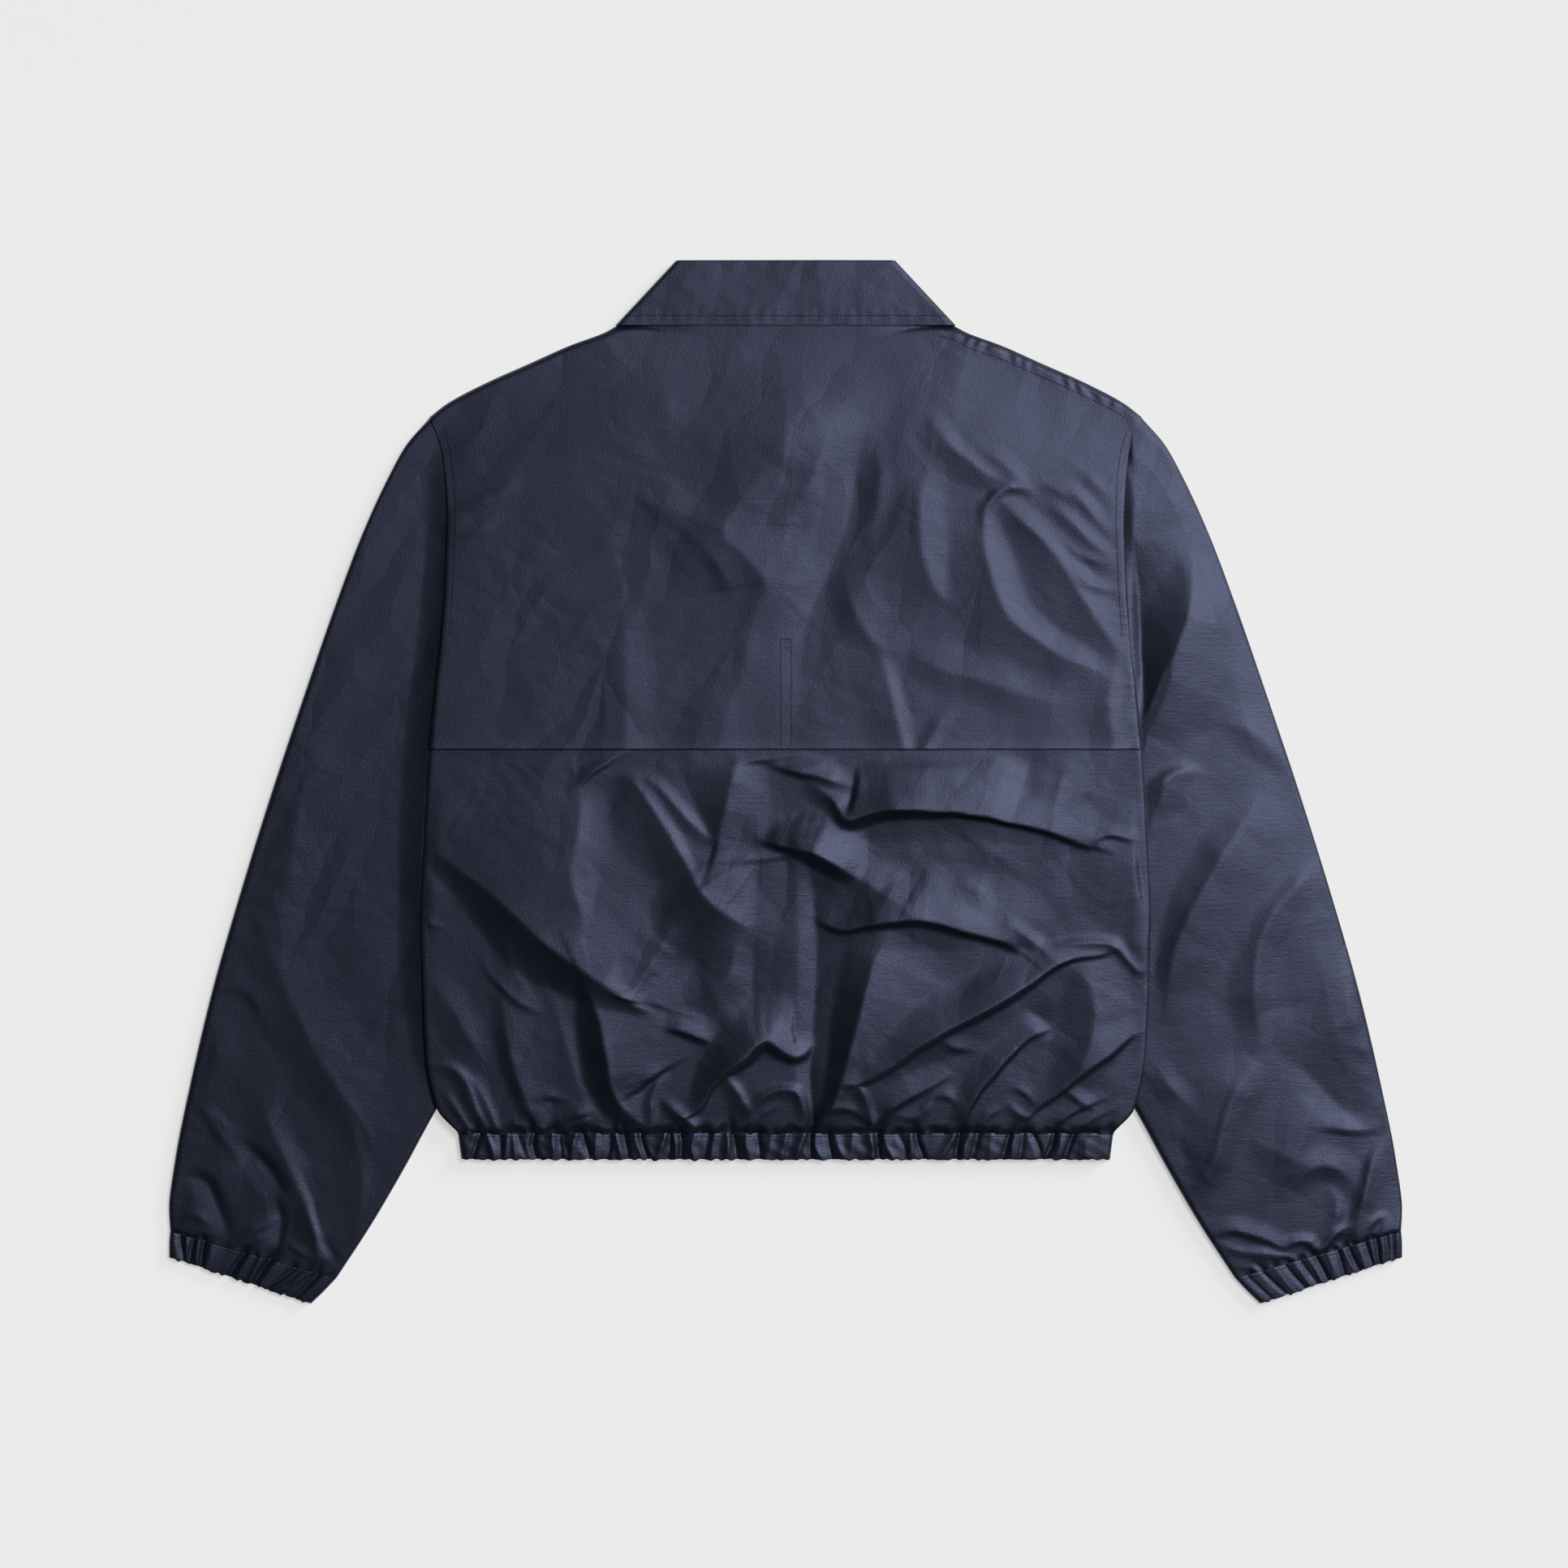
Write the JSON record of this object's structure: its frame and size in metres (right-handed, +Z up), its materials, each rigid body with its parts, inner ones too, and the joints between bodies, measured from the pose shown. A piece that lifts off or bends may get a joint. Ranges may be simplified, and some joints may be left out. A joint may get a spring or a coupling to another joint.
{
  "type": "blouson jacket",
  "caption": "Blouson jacket laid flat face down: turned-down collar, flap-like back yoke with a free lower edge, full sleeves, gathered elastic cuffs and hem band.",
  "frame": {"origin": "centre of the laid-out jacket on the table it lies on", "axes": "+X across the back to the wearer's right, +Y from hem to collar, +Z up from the table, through the back"},
  "size_m": [0.911, 0.7705, 0.0181],
  "materials": {
    "shell_cloth": "satin"
  },
  "bodies": {
    "root": {"back_yoke": "shell_cloth", "back_body": "shell_cloth", "left_front": "shell_cloth", "right_front": "shell_cloth", "left_sleeve": "shell_cloth", "right_sleeve": "shell_cloth", "left_cuff": "shell_cloth", "right_cuff": "shell_cloth", "hem_band": "shell_cloth", "collar_fall": "shell_cloth", "collar_stand": "shell_cloth"}
  },
  "joints": []
}
